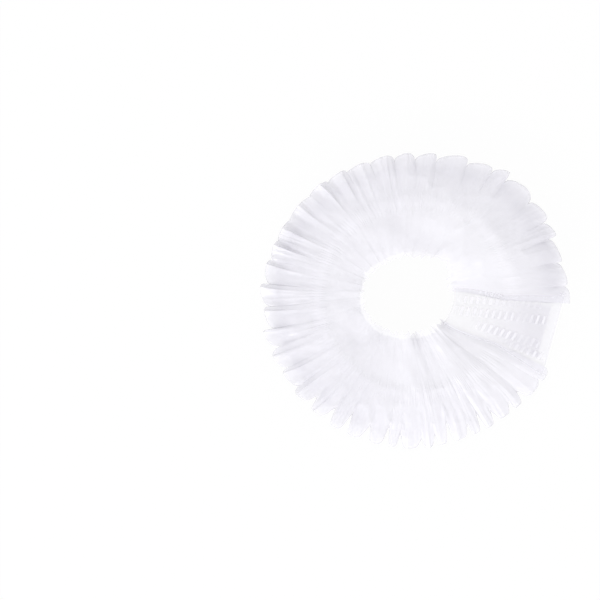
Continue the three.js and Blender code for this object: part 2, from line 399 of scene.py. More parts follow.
@dataclass(frozen=True)
class Ply:
    """One ply of film across the strip, with its levels and other lengths in millimetres.

    The levels are those at the hole, the gather line, the rim and the strip's two ends. Inner is the
    height of the pleats inside the gather line, shift moves them along the strip, in pleats, and proud
    and ragged move the rim. Tall, wrinkle, droop and slit are factors of what the film has.
    """

    hole_level: float
    gather_level: float
    rim_level: float
    weld_level: float
    seed: int
    fold_seed: int
    tall: float = 1.0
    inner: float = 0.12
    shift: float = 0.0
    proud: float = 0.0
    ragged: float = 0.0
    wrinkle: float = 1.0
    droop: float = 0.0
    slit: float = 1.0


@dataclass
class Film:
    """The film of the strip: its plan, its pleats, and the sizes of all that is finer.

    Lengths are in millimetres and turns in degrees. A reach is in pleats from an end of the strip, and a
    band is the middle and spread of a bell curve across it.
    """

    plan: RingPlan
    pleats: Pleats
    crimp: float = 0.04
    crimps_per_pleat: float = 5.3
    crimp_spread: float = 0.028
    crimp_drift: Ripple = Ripple(0.5, 1.7, 5.0)
    ruching: Ripple = Ripple(0.12, 4.2, 3.0)
    ruching_band: Pair = (0.52, 0.12)
    slit_width: float = 0.15
    ragged: Ripple = Ripple(1.0, 1.4, 0.0, offset=(0.0, 3.0))
    teeth: Ripple = Ripple(0.35, 3.4, 1.0)
    teeth_onset: float = 6.0
    mean_section: float = 0.45
    uneven: Ripple = Ripple(0.25, 1.1, 4.0)
    folds: tuple[Ripple, ...] = (Ripple(0.55, 2.2, 1.5, sharp=True), Ripple(0.3, 4.7, 1.9, sharp=True))
    fold_onset: float = 1.2
    fold_size: Pair = (0.2, 0.35)
    fold_hold: float = 0.8
    gathers: Ripple = Ripple(0.05, 6.1, 1.4, sharp=True)
    gathers_fade: float = 0.3
    gathers_onset: float = 6.0
    inner_onset: float = 0.8
    lean_onset: float = 1.5
    wander: Ripple = Ripple(0.9, 0.9, 2.6)
    wander_inside: float = 0.4
    wander_seed: int = 203
    broad: Ripple = Ripple(0.9, 0.42, 4.5, offset=(9.0, 0.0))
    broad_outside: float = 0.25
    creases: Ripple = Ripple(0.14, 0.7, 5.0, offset=(0.0, 4.0), sharp=True)
    coarse_crumple: Ripple = Ripple(0.16, 1 / 5.2, 1 / 5.2, sharp=True)
    fine_crumple: Ripple = Ripple(0.07, 1 / 2.3, 1 / 2.3, sharp=True)
    droop: Swell = Swell(35, 60, 2.4)
    lap_sink: float = 3.0
    lap_wave: Ripple = Ripple(0.3, 1 / 6, 1 / 6)
    lap_seed: int = 77
    loose_reach: float = 1.5
    start_reach: float = 3.5
    end_reaches: Pair = (2.2, 4.8)
    start_turn: float = 6.0
    start_turn_reach: float = 3.0
    end_turn: float = 8.0
    end_turn_reach: float = 4.5
    turn_share: float = 0.5

    def lap_sag(self, x: Array, y: Array) -> Array:
        """Sag of the lapped ends, in millimetres: soft noise on the plan, the same for every ply."""
        return self.lap_wave.at(x, y, self.lap_seed)


@dataclass
class PlyShape:
    """Works out the shape of one ply, with columns along the strip, in pleats, and rows of shares across.

    The arrays that all parts of the shape need are worked out once, and broadcast to (rows, columns).
    """

    film: Film
    ply: Ply
    along: Array
    share: Array

    def __post_init__(self) -> None:
        """Finds the pleats, the hold of the two ends, and the shares inside and outside the gather line."""
        film, ply, plan, pleats = self.film, self.ply, self.film.plan, self.film.pleats
        self.s, self.v = self.along[None, :], self.share[:, None]
        moved = self.along + ply.shift
        self.pleat, _ = pleats.split(moved)
        self.angle = pleats.angle(self.along)[None, :]
        self.section = pleats.section(moved)[None, :]
        self.onset = pleats.style("onset", self.angle)

        begin = 1 - smooth(0, film.loose_reach, self.s)
        self.loose = (1 - begin) * (1 - smooth(pleats.count - film.loose_reach, pleats.count, self.s))
        self.near = 1 - smooth(0, film.start_reach, self.s)
        self.far = smooth(0, 1, (self.s - pleats.count) / mix(*film.end_reaches, self.v) + 1)
        self.held = np.maximum(self.near, self.far)

        lobe = pleats.lobes(moved)[None, :] * pleats.tip[self.pleat][None, :]
        stand = pleats.style("notch", self.angle) * (lobe - 1) * (1 - begin)
        stand = stand - ply.slit * pleats.slits(self.along, film.slit_width * ply.slit)[None, :]
        self.stand = stand + ply.ragged * film.ragged.at(self.s, self.v, ply.seed + 8)
        self.inside = np.clip(1 - self.v / plan.gather_share, 0, 1)
        outside = np.clip((self.v - plan.gather_share) / (1 - plan.gather_share), 0, 1)
        self.outside = outside * (1 + self.stand / plan.frill_width)

    def lift(self) -> Array:
        """Height of the pleats and of the folds on them.

        The section times the pleat's height, less its mean, grows from the elastic to the rim by the
        style's onset. Sharp noise adds folds that grow likewise, and gathers that fade from the elastic.
        Inside the gather line a low section is left.

        Returns:
            Heights in millimetres, which broadcast to (rows, columns).
        """
        film, ply, pleats = self.film, self.ply, self.film.pleats
        usual = pleats.style("height", self.angle)
        uneven = 1 + film.uneven.at(self.s, self.v, ply.fold_seed + 2)
        tall = pleats.height[self.pleat][None, :] * self.section * uneven - film.mean_section * usual
        folds = sum(layer.at(self.s, self.v, ply.fold_seed + k) for k, layer in enumerate(film.folds))
        folds = folds * self.outside ** film.fold_onset * (film.fold_size[0] + film.fold_size[1] * usual)
        folds = folds * (1 - film.fold_hold * self.held)
        gathers = film.gathers.at(self.s, self.v, ply.seed + 10) * np.exp(-self.outside / film.gathers_fade)
        gathers = gathers * (1 - self.inside) ** film.gathers_onset * (1 - self.held)
        low = ply.inner * (self.section - film.mean_section) * self.inside ** film.inner_onset
        return (ply.tall * (tall * self.outside ** self.onset + folds) + gathers + low) * self.loose

    def angles(self) -> Array:
        """Angles round the ring: the strip's own, less the lean of the pleats, plus a soft wander.

        At the two ends the film also turns towards the weld, most at the hole.

        Returns:
            Angles in degrees, which broadcast to (rows, columns).
        """
        film, pleats = self.film, self.film.pleats
        grown = self.section * self.outside ** (film.lean_onset * self.onset)
        lean = np.degrees(pleats.lean[self.pleat][None, :] * grown / film.plan.rough_radius(self.v))
        wander = film.wander.at(self.s, self.v, film.wander_seed) * (film.wander_inside + self.outside)
        turn = film.start_turn * (1 - smooth(0, film.start_turn_reach, self.s))
        turn = turn - film.end_turn * smooth(pleats.count - film.end_turn_reach, pleats.count, self.s)
        return self.angle + (wander - lean) * self.loose + (1 - smooth(0, film.turn_share, self.v)) * turn

    def levels(self) -> Array:
        """Height without pleats: straight between hole, elastic and rim, and down at both ends.

        Returns:
            Heights in millimetres, which broadcast to (rows, columns).
        """
        film, ply, plan = self.film, self.ply, self.film.plan
        gather = plan.gather_share
        level = np.interp(
            np.where(self.inside > 0, self.v, gather + (1 - gather) * self.outside),
            [0, gather, gather + plan.elastic_share, 1],
            [ply.hole_level, ply.gather_level, ply.gather_level, ply.rim_level],
        )
        level = level - ply.droop * film.droop.at(self.angle) * self.outside
        for hold in (self.near, self.far):
            level = mix(level, ply.weld_level - film.lap_sink * self.v, hold)
        return level

    def crimps(self) -> Array:
        """Crimps on both edges of the elastic, as a sine, and soft ruching over it, as noise.

        Returns:
            Heights in millimetres, which broadcast to (rows, columns).
        """
        film, ply, plan = self.film, self.ply, self.film.plan
        fine = self.s * film.crimps_per_pleat + film.crimp_drift.at(self.s, self.v, ply.seed)
        edges = (plan.gather_share, plan.gather_share + plan.elastic_share)
        pinch = sum(bell(self.v, edge, film.crimp_spread) for edge in edges)
        ruching = film.ruching.at(self.s, self.v, ply.seed + 9) * bell(self.v, *film.ruching_band)
        return film.crimp * np.sin(2 * np.pi * fine) * pinch + ruching

    def wrinkles(self, x: Array, y: Array) -> Array:
        """Wrinkles of the strip and crumples of the plan, and the lap's sag where the ends are held.

        Args:
            x: first coordinates of the points on the plan, in millimetres.
            y: second coordinates, likewise.

        Returns:
            Heights in millimetres, which broadcast to (rows, columns).
        """
        film, ply = self.film, self.ply
        broad = film.broad.at(self.s, self.v, ply.seed + 1) * (film.broad_outside + self.inside ** 0.5)
        creases = film.creases.at(self.s, self.v, ply.seed + 2)
        crumples = film.coarse_crumple.at(x, y, ply.seed + 3) + film.fine_crumple.at(x, y, ply.seed + 5)
        free = ply.wrinkle * (broad + creases + crumples)
        return mix(free, film.lap_sag(x, y), self.held)

    def points(self) -> Array:
        """Puts the parts of the shape together, with small teeth along the edge at the hole.

        Returns:
            Points of shape (rows, columns, 3), in millimetres.
        """
        film, ply, plan = self.film, self.ply, self.film.plan
        teeth = film.teeth.at(self.s, ply.seed, ply.seed + 4) * self.inside ** film.teeth_onset
        points = np.empty((len(self.share), len(self.along), 3))
        share = self.v + teeth / plan.inner_width
        points[..., :2] = plan.place(self.angles(), share, ply.proud + self.stand)
        wrinkles = self.wrinkles(points[..., 0], points[..., 1])
        points[..., 2] = self.levels() + self.lift() + self.crimps() * self.loose + wrinkles
        return points


@dataclass(frozen=True)
class PaintedShade:
    """Painted shade on the film's colour: a little in the whole frill, most in a band inside the rim.

    Shares are across the strip, the reach is in pleats, and the band is a bell curve's middle and spread.
    """

    base: float = 0.05
    frill: float = 0.4
    frill_shares: Pair = (0.42, 0.75)
    band: float = 0.4
    band_at: Pair = (0.86, 0.1)
    rim_loss: float = 0.8
    rim_shares: Pair = (0.93, 1.0)
    at_start: float = 0.4
    start_reach: float = 1.5
    between: float = 0.5
    between_shares: Pair = (0.75, 0.95)
    uneven: Ripple = Ripple(0.35, 1.3, 5.0)
    seed: int = 61

    def at(self, film: Film, along: Array, share: Array) -> Array:
        """Painted shade of the frill and its band, less at the rim, plus painted shade in the valleys
        between pleats.

        Args:
            film: the film that knows the pleats.
            along: places along the strip, in pleats, one for each column.
            share: shares across the strip, one for each row.

        Returns:
            Values of shape (rows, columns).
        """
        s, v, pleats = along[None, :], share[:, None], film.pleats
        # Painted shade, as a share of the grey: a band inside the rim, less at the rim and the start, more
        # in the valleys
        frill = self.base + self.frill * smooth(*self.frill_shares, v) + self.band * bell(v, *self.band_at)
        frill = frill * (1 - self.rim_loss * smooth(*self.rim_shares, v))
        frill = frill * mix(self.at_start, 1, smooth(0, self.start_reach, s))
        valleys = (1 - pleats.lobes(along)[None, :]) * smooth(*self.between_shares, v)
        valleys = valleys * smooth(0, 1, s) * smooth(pleats.count, pleats.count - 1, s)
        uneven = 1 + self.uneven.at(s, v, self.seed)
        return pleats.style("painted_shade", pleats.angle(s)) * (frill * uneven + self.between * valleys)


def fold(before: Array, last: Array, first: Array, steps: int) -> Array:
    """Rows of a half circle that carries the film from one ply round to the next.

    Each point is the middle of the gap, plus the half gap times the cosine of the turn, plus half the
    gap's length times its sine along the way that the film was going.

    Args:
        before: the row before the last row of the ply that comes in.
        last: the last row of the ply that comes in.
        first: the first row of the ply that goes out.
        steps: how many rows to make.

    Returns:
        Points of shape (steps, columns, 3).
    """
    ahead = last - before
    ahead[:, 2] = 0
    ahead /= np.maximum(np.linalg.norm(ahead, axis=1, keepdims=True), 1e-6)
    half = (last - first) / 2
    reach = np.linalg.norm(half, axis=1, keepdims=True)
    turn = (np.pi * np.arange(1, steps + 1) / (steps + 1))[:, None, None]
    return (last + first) / 2 + half * np.cos(turn) + ahead * reach * np.sin(turn)


def grid_object(
    name: str, points: Array, clear: Array | float = 0.0, painted_shade: Array | float = 0.0,
    closed: bool = False,
) -> Piece:
    """Puts a grid of points into a smooth quad mesh with a UV map in millimetres.

    The mesh also holds what a finish reads: how clear it is at each point, how much grey shade is
    painted into its colour there, and how far the film is drawn in there, which is the step along its row
    over the mean step of its column.

    Args:
        name: name of the piece.
        points: points of shape (rows, columns, 3), in millimetres.
        clear: how clear the film is, from 0 to 1, of a shape that broadcasts to (rows, columns).
        painted_shade: how much grey shade is painted into its colour, from 0 to 1, of a shape that
            broadcasts likewise.
        closed: joins the last row to the first, as a section carried along a path needs.

    Returns:
        The new object, at the origin.
    """
    rows, columns = points.shape[:2]
    index = np.arange(rows * columns).reshape(rows, columns)
    if closed:
        index = np.concatenate([index, index[:1]])
    quads = np.stack([index[:-1, :-1], index[:-1, 1:], index[1:, 1:], index[1:, :-1]], axis=-1)
    quads = quads.reshape(-1, 4)
    mesh = bpy.data.meshes.new(name)
    mesh.vertices.add(rows * columns)
    mesh.vertices.foreach_set("co", (points * MM).astype(np.float32).ravel())
    mesh.loops.add(quads.size)
    mesh.loops.foreach_set("vertex_index", quads.astype(np.int32).ravel())
    mesh.polygons.add(len(quads))
    mesh.polygons.foreach_set("loop_start", np.arange(0, quads.size, 4, dtype=np.int32))
    mesh.polygons.foreach_set("use_smooth", np.ones(len(quads), dtype=bool))
    mesh.update(calc_edges=True)

    steps = np.linalg.norm(np.diff(points, axis=1), axis=2)
    steps_along = steps.mean(axis=0)
    drawn_in = (steps / steps_along)[:, np.minimum(np.arange(columns), columns - 2)]
    steps_across = np.linalg.norm(np.diff(points, axis=0), axis=2).mean(axis=1)
    u = np.concatenate([[0], np.cumsum(steps_along)])
    v = np.concatenate([[0], np.cumsum(steps_across)])
    flat = np.stack(np.meshgrid(u, v), axis=-1).reshape(-1, 2)
    layer = mesh.uv_layers.new(name=FLAT_MAP)
    layer.data.foreach_set("uv", flat[quads.ravel()].astype(np.float32).ravel())
    for attribute, given in ((CLEARNESS, clear), (SHADE_ATTRIBUTE, painted_shade), (CREASE, drawn_in)):
        layer = mesh.attributes.new(attribute, "FLOAT", "POINT")
        values = np.broadcast_to(np.clip(given, 0, 1), (rows, columns))
        layer.data.foreach_set("value", values.astype(np.float32).ravel())

    piece = bpy.data.objects.new(name, mesh)
    bpy.context.scene.collection.objects.link(piece)
    return piece


def add_node(
    tree: bpy.types.NodeTree, kind: str, settings: dict[str, object] | None = None, **links: object
) -> bpy.types.Node:
    """Adds a shader node, with its settings, socket values and links.

    Args:
        tree: node tree that the node goes into.
        kind: Blender's name of the node type.
        settings: attributes of the node.
        links: input sockets by name, with _ for a blank, or by number as n0, n1. A value is another
            node, whose first output is used, an output socket, or a plain value.

    Returns:
        The new node.
    """
    node = tree.nodes.new(kind)
    for key, value in (settings or {}).items():
        setattr(node, key, value)
    for key, value in links.items():
        number = key[1:]
        socket = node.inputs[int(number)] if number.isdigit() else node.inputs[key.replace("_", " ")]
        if isinstance(value, bpy.types.Node):
            tree.links.new(value.outputs[0], socket)
        elif isinstance(value, bpy.types.NodeSocket):
            tree.links.new(value, socket)
        else:
            socket.default_value = value
    return node


def new_material(name: str) -> Material:
    """Makes a node material with an empty tree."""
    material = bpy.data.materials.new(name)
    material.use_nodes = True
    material.node_tree.nodes.clear()
    return material


@dataclass(frozen=True)
class FilmFinish:
    """Blown LDPE film: clear in one ply, milky where plies lie on each other.

    The eye gets a cool white haze, light that shines through from behind, and soft gloss streaks on
    the folds. How clear it is at each place, and how much grey shade is painted into its colour there,
    come with the piece.
    """

    name: str
    colour: str = "#FAF9FE"
    # Grey that is painted into the colour as shade, where the piece's painted-shade attribute asks for it
    painted_shade_colour: str = "#CECCD6"
    glow: float = 0.14
    roughness: float = 0.3
    ior: float = 1.51
    crease_mm: float = 1.1
    crease_depth_mm: float = 0.06
    crease_across: float = 0.2
    crease_detail: float = 3.0
    bump: float = 0.4

    def material(self) -> Material:
        """Builds the material: a glossy white sheet and a sheet that glows through, partly clear.

        Returns:
            The material.
        """
        material = new_material(self.name)
        tree = material.node_tree
        uv = add_node(tree, "ShaderNodeUVMap", {"uv_map": FLAT_MAP})
        scale = (1 / self.crease_mm, self.crease_across / self.crease_mm, 1)
        stretch = add_node(tree, "ShaderNodeMapping", Vector=uv, Scale=scale)
        creases = add_node(
            tree, "ShaderNodeTexNoise", {"noise_dimensions": "2D"}, Vector=stretch, Scale=1.0,
            Detail=self.crease_detail,
        )
        drawn_in = add_node(tree, "ShaderNodeAttribute", {"attribute_name": CREASE})
        depth = add_node(
            tree, "ShaderNodeMath", {"operation": "MULTIPLY"}, n0=creases, n1=drawn_in.outputs["Fac"]
        )
        bump = add_node(
            tree, "ShaderNodeBump", Strength=self.bump, Distance=self.crease_depth_mm * MM, Height=depth
        )
        # Painted shade: the film's colour is mixed towards the grey by the piece's painted-shade attribute
        painted_shade = add_node(tree, "ShaderNodeAttribute", {"attribute_name": SHADE_ATTRIBUTE})
        tint = add_node(
            tree, "ShaderNodeMix", {"data_type": "RGBA"}, n0=painted_shade.outputs["Fac"], n6=srgb(self.colour),
            n7=srgb(self.painted_shade_colour),
        ).outputs[2]
        gloss = add_node(
            tree, "ShaderNodeBsdfPrincipled", Base_Color=tint, Roughness=self.roughness, IOR=self.ior,
            Normal=bump,
        )
        through = add_node(tree, "ShaderNodeBsdfTranslucent", Color=tint, Normal=bump)
        sheet = add_node(tree, "ShaderNodeMixShader", n0=self.glow, n1=gloss, n2=through)
        clear = add_node(tree, "ShaderNodeBsdfTransparent")
        place = add_node(tree, "ShaderNodeAttribute", {"attribute_name": CLEARNESS})
        partly = add_node(tree, "ShaderNodeMixShader", n0=place.outputs["Fac"], n1=sheet, n2=clear)
        add_node(tree, "ShaderNodeOutputMaterial", Surface=partly)
        return material


@dataclass(frozen=True)
class RubberFinish:
    """Natural white latex rubber, cut from sheet: matt, with a faint mottle."""

    name: str
    light: str = "#E6E4EC"
    dark: str = "#DBD9E2"
    mottle_mm: float = 1.2
    mottle_detail: float = 3.0
    roughness: float = 0.7

    def material(self) -> Material:
        """Builds the material: two close whites mixed by noise, on a rough surface.

        Returns:
            The material.
        """
        material = new_material(self.name)
        tree = material.node_tree
        place = add_node(tree, "ShaderNodeTexCoord")
        mottle = add_node(
            tree, "ShaderNodeTexNoise", Vector=place.outputs["Object"], Scale=1 / (self.mottle_mm * MM),
            Detail=self.mottle_detail,
        )
        tint = add_node(
            tree, "ShaderNodeMix", {"data_type": "RGBA"}, n0=mottle, n6=srgb(self.light), n7=srgb(self.dark)
        )
        surface = add_node(
            tree, "ShaderNodeBsdfPrincipled", Base_Color=tint.outputs[2], Roughness=self.roughness
        )
        add_node(tree, "ShaderNodeOutputMaterial", Surface=surface)
        return material


def dress(piece: Piece, material: Material, slot: str, *nodes: str) -> Piece:
    """Gives a piece its material and body, and hides the frame nodes that it stands for.

    Args:
        piece: the piece.
        material: its material.
        slot: the record's material slot; it is not used.
        nodes: frame nodes that the piece replaces.

    Returns:
        The piece.
    """
    piece.data.materials.append(material)
    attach(piece, FRAME_BODY)
    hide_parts(*nodes)
    log.info("%s: %d triangles", piece.name, 2 * len(piece.data.polygons))
    return piece


@dataclass(frozen=True)
class Clearness:
    """How clear a film is: inside, at the elastic, rim and hole, and at both ends of the strip.

    Shares are across the strip, a reach is in pleats from its end, and the band lies past the gather line.
    """

    inside: float
    elastic: float
    rim: float
    hole: float
    end: float
    far_end: float
    elastic_band: Pair = (0.05, 0.07)
    rim_shares: Pair = (0.76, 1.0)
    hole_share: float = 0.06
    end_reach: Pair = (0.05, 0.9)
    far_reach: Pair = (1.3, 0.05)
    far_shares: Pair = (0.1, 0.5)

    def at(self, film: Film, along: Array, share: Array) -> Array:
        """Eases between those values across the strip, plus the pleat style's own share, and at its ends.

        Args:
            film: the film that knows the pleats.
            along: places along the strip, in pleats, one for each column.
            share: shares across the strip, one for each row.

        Returns:
            Values of shape (rows, columns).
        """
        s, v, pleats = along[None, :], share[:, None], film.pleats
        past, spread = self.elastic_band
        clear = mix(self.inside, self.elastic, bell(v, film.plan.gather_share + past, spread))
        clear = clear + (self.rim - self.inside) * smooth(*self.rim_shares, v)
        clear = clear + (self.hole - self.inside) * (1 - smooth(0, self.hole_share, v))
        clear = clear + pleats.style("clear", pleats.angle(s))
        first, last = self.far_reach
        far = smooth(pleats.count - first, pleats.count - last, s) * smooth(*self.far_shares, v)
        return mix(mix(clear, self.far_end, far), self.end, 1 - smooth(*self.end_reach, s))


@dataclass
class HemFilm:
    """The outermost ply at the top or the bottom, with its hem turned back over the elastic.

    Lengths are in millimetres, and the flat size of the film in metres; the flat size is not used.
    """

    film: Film
    side: Side
    gather_level: float
    weld_level: float
    turn_gap: float = 3.0
    rim_gap: float = 0.14
    hole_fall: float = 0.3
    rim_fall: float = 1.8
    proud: float = 0.0
    inner_share: float = 0.0
    droop: float = 1.0
    seed: int = 20
    fold_seed: int = 200
    turn_tuck: float = 0.05
    turn_drop: float = 0.08
    turn_start: float = 0.995
    turn_past: float = 0.02
    per_pleat: int = 34
    ply_rows: int = 48
    row_power: float = 0.9
    bend_rows: int = 2
    turn_rows: int = 16
    clearness: Clearness = Clearness(0.3, 0.26, 0.42, hole=0.42, end=0.2, far_end=0.25)
    clear_fold: float = 0.48
    # Painted shade on the film's colour: a grey band inside the rim and in the valleys between pleats
    density_and_painted_shade: PaintedShade = PaintedShade()
    flat: Pair = (0.046, 0.19)
    rests_on: tuple[str, ...] = ("crown_film",)

    def plies(self) -> tuple[Ply, Ply]:
        """The ply that shows, and the hem that is turned back on its inner face."""
        out, level = self.side.value, self.gather_level
        rim, turn = level - out * self.rim_fall, level - out * self.turn_gap
        shown = Ply(
            level - out * self.hole_fall, level, rim, self.weld_level, seed=self.seed + out,
            fold_seed=self.fold_seed + out, proud=self.proud, droop=self.droop,
        )
        turned = replace(
            shown, hole_level=turn, gather_level=turn, rim_level=rim - out * self.rim_gap,
            weld_level=self.weld_level - self.turn_drop, proud=self.proud - self.turn_tuck,
        )
        return shown, turned

    def points(self) -> tuple[Array, Array, Array]:
        """The ply from the hole to the rim, a half circle round the rim, and the hem back inwards.

        Returns:
            Points of shape (rows, columns, 3), in millimetres, how clear the film is at each, and how much
            grey shade is painted into its colour there.
        """
        shown, turned = self.plies()
        along = self.film.pleats.columns(self.per_pleat)
        out = mix(self.inner_share, 1, np.linspace(0, 1, self.ply_rows) ** self.row_power)
        back = np.linspace(self.turn_start, self.film.plan.gather_share - self.turn_past, self.turn_rows)
        ply = PlyShape(self.film, shown, along, out).points()
        turn = PlyShape(self.film, turned, along, back).points()
        bend = fold(ply[-2], ply[-1], turn[0], self.bend_rows)
        share = np.concatenate([out, np.ones(self.bend_rows), back])
        clear = self.clearness.at(self.film, along, share)
        clear[self.ply_rows - 1:self.ply_rows + self.bend_rows + 1] = self.clear_fold
        return np.concatenate([ply, bend, turn]), clear, self.density_and_painted_shade.at(self.film, along, share)

    def build(self, finish: Material, *nodes: str) -> Piece:
        """Args:
            finish: the film's material.
            nodes: frame nodes that the piece replaces.

        Returns:
            The piece.
        """
        points, clear, painted_shade = self.points()
        if self.side is Side.BOTTOM:
            points[..., 2] -= points[..., 2].min()
        piece = grid_object(f"{self.side.name.lower()}_hem_film", points, clear, painted_shade)
        return dress(piece, finish, "clear_film", *nodes)


@dataclass
class CrownFilm:
    """The crown film, folded to and fro between the two hems.

    Lengths are in millimetres, and the flat size of the film in metres; the flat size is not used.
    """

    film: Film
    hole_levels: Pair
    gather_levels: Pair
    rim_levels: Pair
    weld_levels: Pair
    plies: int = 8
    tall: Pair = (0.7, 1.0)
    shift: Pair = (-0.2, 0.2)
    proud: Pair = (-5.2, -3.0)
    inner: float = 0.2
    ragged: float = 0.9
    wrinkle: float = 0.6
    droop: float = 0.9
    slit: float = 1.5
    first_share: float = 0.05
    share_step: float = 0.012
    last_share: float = 0.99
    per_pleat: int = 14
    rows: int = 15
    bend_rows: int = 3
    set_back: float = 0.15
    clearness: Clearness = Clearness(0.05, 0.05, 0.1, hole=0.1, end=0.05, far_end=0.05)
    flat: Pair = (0.21, 0.165)
    seed: int = 5
    ply_seed: int = 40
    fold_seed: int = 300
    seed_step: int = 10

    def points(self) -> tuple[Array, Array]:
        """Plies from the top down, each joined to the next by a half circle at the hole or the rim.

        Returns:
            Points of shape (rows, columns, 3), in millimetres, and how clear the film is at each.
        """
        along = self.film.pleats.columns(self.per_pleat)
        along = along[(along >= self.set_back) & (along <= along[-1] - self.set_back)]
        rng = np.random.default_rng(self.seed)
        parts: list[Array] = []
        shares: list[Array] = []
        spans = (self.hole_levels, self.gather_levels, self.rim_levels, self.weld_levels)
        for number in range(self.plies):
            deep = number / (self.plies - 1)
            levels = (mix(*span, deep) for span in spans)
            ply = Ply(
                *levels, seed=self.ply_seed + self.seed_step * number,
                fold_seed=self.fold_seed + self.seed_step * number, tall=rng.uniform(*self.tall),
                inner=self.inner, shift=rng.uniform(*self.shift), proud=rng.uniform(*self.proud),
                ragged=self.ragged, wrinkle=self.wrinkle, droop=self.droop * (1 - deep), slit=self.slit,
            )
            share = np.linspace(self.first_share + self.share_step * number, self.last_share, self.rows)
            share = share if number % 2 == 0 else share[::-1]
            surface = PlyShape(self.film, ply, along, share).points()
            if parts:
                parts.append(fold(parts[-1][-2], parts[-1][-1], surface[0], self.bend_rows))
                shares.append(np.full(self.bend_rows, share[0]))
            parts.append(surface)
            shares.append(share)
        return np.concatenate(parts), self.clearness.at(self.film, along, np.concatenate(shares))

    def build(self, finish: Material, *nodes: str) -> Piece:
        """Makes the piece and dresses it."""
        points, clear = self.points()
        piece = grid_object("crown_film", points, clear)
        return dress(piece, finish, "clear_film", *nodes)


@dataclass
class ElasticBand:
    """A flat elastic in its channel along the gather line, in millimetres and degrees."""

    plan: RingPlan
    bottom: float
    weld_level: float
    thickness: float = 0.6
    columns: int = 420
    section_points: int = 16
    corner_powers: Pair = (0.35, 0.6)
    ripple: float = 0.06
    ripples_per_turn: float = 110.0
    end_fall: float = 36.0

    def points(self) -> Array:
        """A rounded flat section carried along the gather line, with a faint ripple in its height.

        The section is an ellipse whose cosine and sine are raised to powers below 1. Over the last
        degrees at both ends the band comes down to the weld.

        Returns:
            Points of shape (section points, columns, 3), in millimetres.
        """
        plan = self.plan
        turn = np.linspace(0, 2 * np.pi, self.section_points, endpoint=False)[:, None]
        across = signed_power(np.cos(turn), self.corner_powers[0])
        up = signed_power(np.sin(turn), self.corner_powers[1])
        angle = np.linspace(plan.start, plan.end, self.columns)[None, :]
        middle = plan.elastic_inner + plan.elastic_width / 2
        radius = plan.gather_radius + middle + across * plan.elastic_width / 2
        wave = self.ripple * np.sin(np.radians(angle) * self.ripples_per_turn)
        from_end = np.minimum(angle - plan.start, plan.end - angle)
        bottom = mix(self.weld_level, self.bottom, smooth(0, self.end_fall, from_end))
        height = bottom + self.thickness / 2 * (1 + up) + wave
        ring = plan.ellipse(plan.gather_at, (radius, radius), angle + 0 * radius)
        return np.concatenate([ring, np.broadcast_to(height, ring.shape[:2])[..., None]], axis=-1)

    def build(self, finish: Material, node: str) -> Piece:
        """Makes the piece and dresses it."""
        piece = grid_object(f"{node}_band", self.points(), closed=True)
        return dress(piece, finish, "elastic_rubber", node)


@dataclass(frozen=True)
class BarRow:
    """One straight row of weld bars on the plan, from its start to its stop, in millimetres."""

    start: Pair
    stop: Pair
    length: float

    def along(self, points: Array) -> tuple[Array, Array]:
        """How far points lie along the row and aside from it, by the row's own direction and normal.

        Args:
            points: XY points in the last axis, in millimetres.

        Returns:
            Distances along the row from its start, and aside from it to the left.
        """
        run = math.dist(self.start, self.stop)
        ahead = ((self.stop[0] - self.start[0]) / run, (self.stop[1] - self.start[1]) / run)
        x, y = points[..., 0] - self.start[0], points[..., 1] - self.start[1]
        return x * ahead[0] + y * ahead[1], y * ahead[0] - x * ahead[1]


